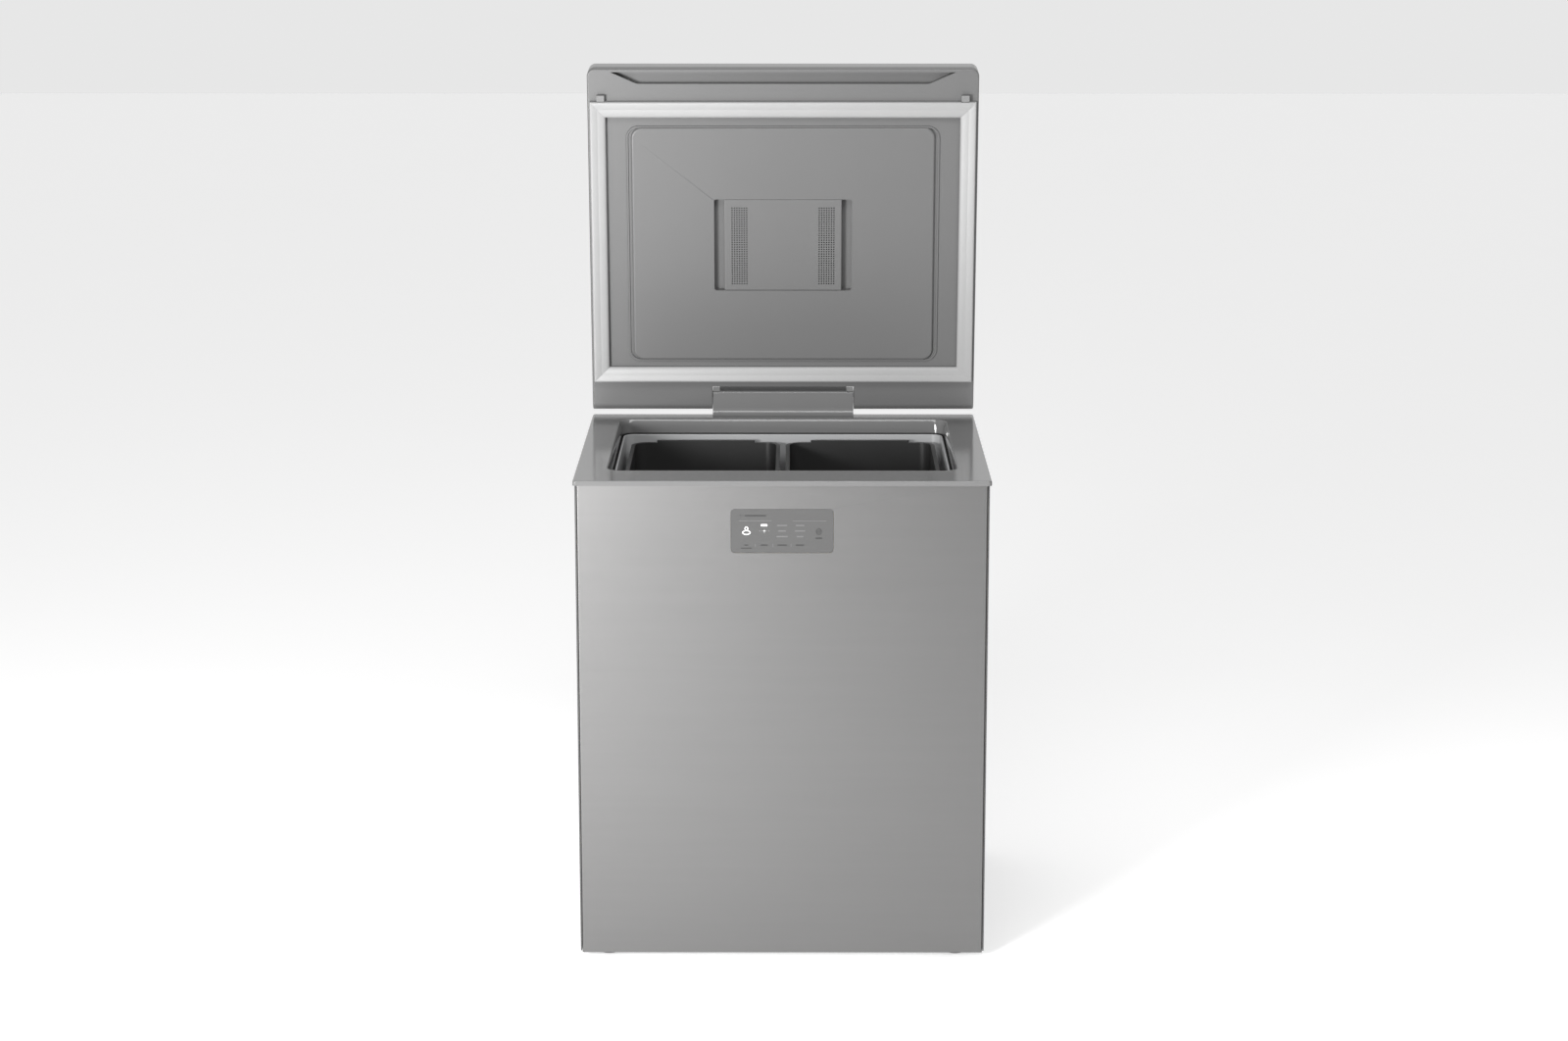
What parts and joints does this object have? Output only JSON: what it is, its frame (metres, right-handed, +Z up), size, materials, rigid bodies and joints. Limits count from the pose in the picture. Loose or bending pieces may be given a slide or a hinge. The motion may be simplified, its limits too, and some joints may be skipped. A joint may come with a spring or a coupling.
{
  "type": "chest freezer",
  "caption": "Top-opening chest freezer with a hinged insulated lid, grip recess, filter cover, magnetic gasket, lift-out bins, control window and compressor room.",
  "frame": {"origin": "on the floor, under the middle of the whole object with its lid open", "axes": "+Z up, -Y towards the front where the user stands, +X to the user's right"},
  "size_m": [0.668, 0.6147, 1.4129],
  "materials": {
    "frame_grey": "gloss",
    "lid_grey": "satin",
    "lid_silver": "satin",
    "front_silver": "satin",
    "side_grey": "satin",
    "control_grey": "gloss",
    "liner_grey": "satin",
    "bin_charcoal": "satin",
    "gasket_grey": "matte",
    "bumper_grey": "matte",
    "foam": "matte",
    "galvanised_steel": "satin",
    "bright_steel": "polished",
    "black_plastic": "matte",
    "black_enamel": "satin",
    "black_rubber": "matte",
    "copper": "satin",
    "tube_steel": "satin",
    "tube_aluminium": "satin",
    "board_green": "satin",
    "magnet": "matte",
    "filter_charcoal": "matte"
  },
  "bodies": {
    "cabinet": {"top_frame": "frame_grey", "hinge_housing": "frame_grey", "front_panel": "front_silver", "side_panel_left": "side_grey", "side_panel_right": "side_grey", "control_window": "control_grey", "inner_liner": "liner_grey", "sensor_cover": "liner_grey", "lower_bin_left": "bin_charcoal", "lower_bin_right": "bin_charcoal", "insulation_foam": "foam", "rear_panel": "galvanised_steel", "base_pan": "galvanised_steel", "floor_plate": "galvanised_steel", "machine_room_cover": "galvanised_steel", "roller_brackets": "galvanised_steel", "foot_sockets": "galvanised_steel", "hinge_bracket": "galvanised_steel", "fan_shroud": "galvanised_steel", "hinge_screws": "bright_steel", "cover_screws": "bright_steel", "compressor_bolts": "bright_steel", "roller_axles": "bright_steel", "hinge_springs": "bright_steel", "board_cover": "black_plastic", "control_housing": "black_plastic", "hinge_bushes": "black_plastic", "compressor": "black_enamel", "fan_motor": "black_enamel", "compressor_mounts": "black_rubber", "cable_gland": "black_rubber", "mouth_seal": "black_rubber", "refrigerant_pipes": "copper", "filter_drier": "copper", "condenser_coil": "tube_steel", "evaporator_tube": "tube_aluminium", "control_board": "board_green", "main_board": "board_green"},
    "lid": {"lid_inner_panel": "lid_grey", "lid_outer_panel": "lid_silver", "lid_foam": "foam", "lid_gasket": "gasket_grey", "gasket_magnets": "magnet", "lid_bumpers": "bumper_grey", "lid_hinge_plates": "galvanised_steel", "hinge_shaft": "bright_steel", "filter_cartridge": "filter_charcoal"},
    "filter_cover": {"filter_cover": "lid_grey"},
    "bin_left": {"bin_left": "bin_charcoal"},
    "bin_right": {"bin_right": "bin_charcoal"},
    "front_foot_left": {"front_foot_left": "black_plastic"},
    "front_foot_right": {"front_foot_right": "black_plastic"},
    "rear_roller_left": {"rear_roller_left": "black_plastic"},
    "rear_roller_right": {"rear_roller_right": "black_plastic"},
    "fan": {"fan_blade": "black_plastic"}
  },
  "joints": [
    {"name": "lid_hinge", "type": "hinge", "parent": "cabinet", "child": "lid", "pos_m": [0, 0.2715, 0.832], "axis": [-1, 0, 0], "range_deg": [-84.5, 0], "stiffness_Nm_per_rad": 14, "springref_deg": 14.32},
    {"name": "filter_cover_out", "type": "slide", "parent": "lid", "child": "filter_cover", "axis": [0, -0.9954, -0.0958], "range_m": [0, 0.024]},
    {"name": "bin_left_lift", "type": "slide", "parent": "cabinet", "child": "bin_left", "axis": [0, 0, 1], "range_m": [0, 0.305]},
    {"name": "bin_right_lift", "type": "slide", "parent": "cabinet", "child": "bin_right", "axis": [0, 0, 1], "range_m": [0, 0.305]},
    {"name": "foot_left_turn", "type": "hinge", "parent": "cabinet", "child": "front_foot_left", "pos_m": [-0.285, -0.265, 0.02], "axis": [0, 0, 1], "continuous": true},
    {"name": "foot_right_turn", "type": "hinge", "parent": "cabinet", "child": "front_foot_right", "pos_m": [0.285, -0.265, 0.02], "axis": [0, 0, 1], "continuous": true},
    {"name": "roller_left_roll", "type": "hinge", "parent": "cabinet", "child": "rear_roller_left", "pos_m": [-0.285, 0.215, 0.016], "axis": [1, 0, 0], "continuous": true},
    {"name": "roller_right_roll", "type": "hinge", "parent": "cabinet", "child": "rear_roller_right", "pos_m": [0.285, 0.215, 0.016], "axis": [1, 0, 0], "continuous": true},
    {"name": "fan_spin", "type": "hinge", "parent": "cabinet", "child": "fan", "pos_m": [-0.05, 0.1, 0.098], "axis": [1, 0, 0], "continuous": true}
  ]
}
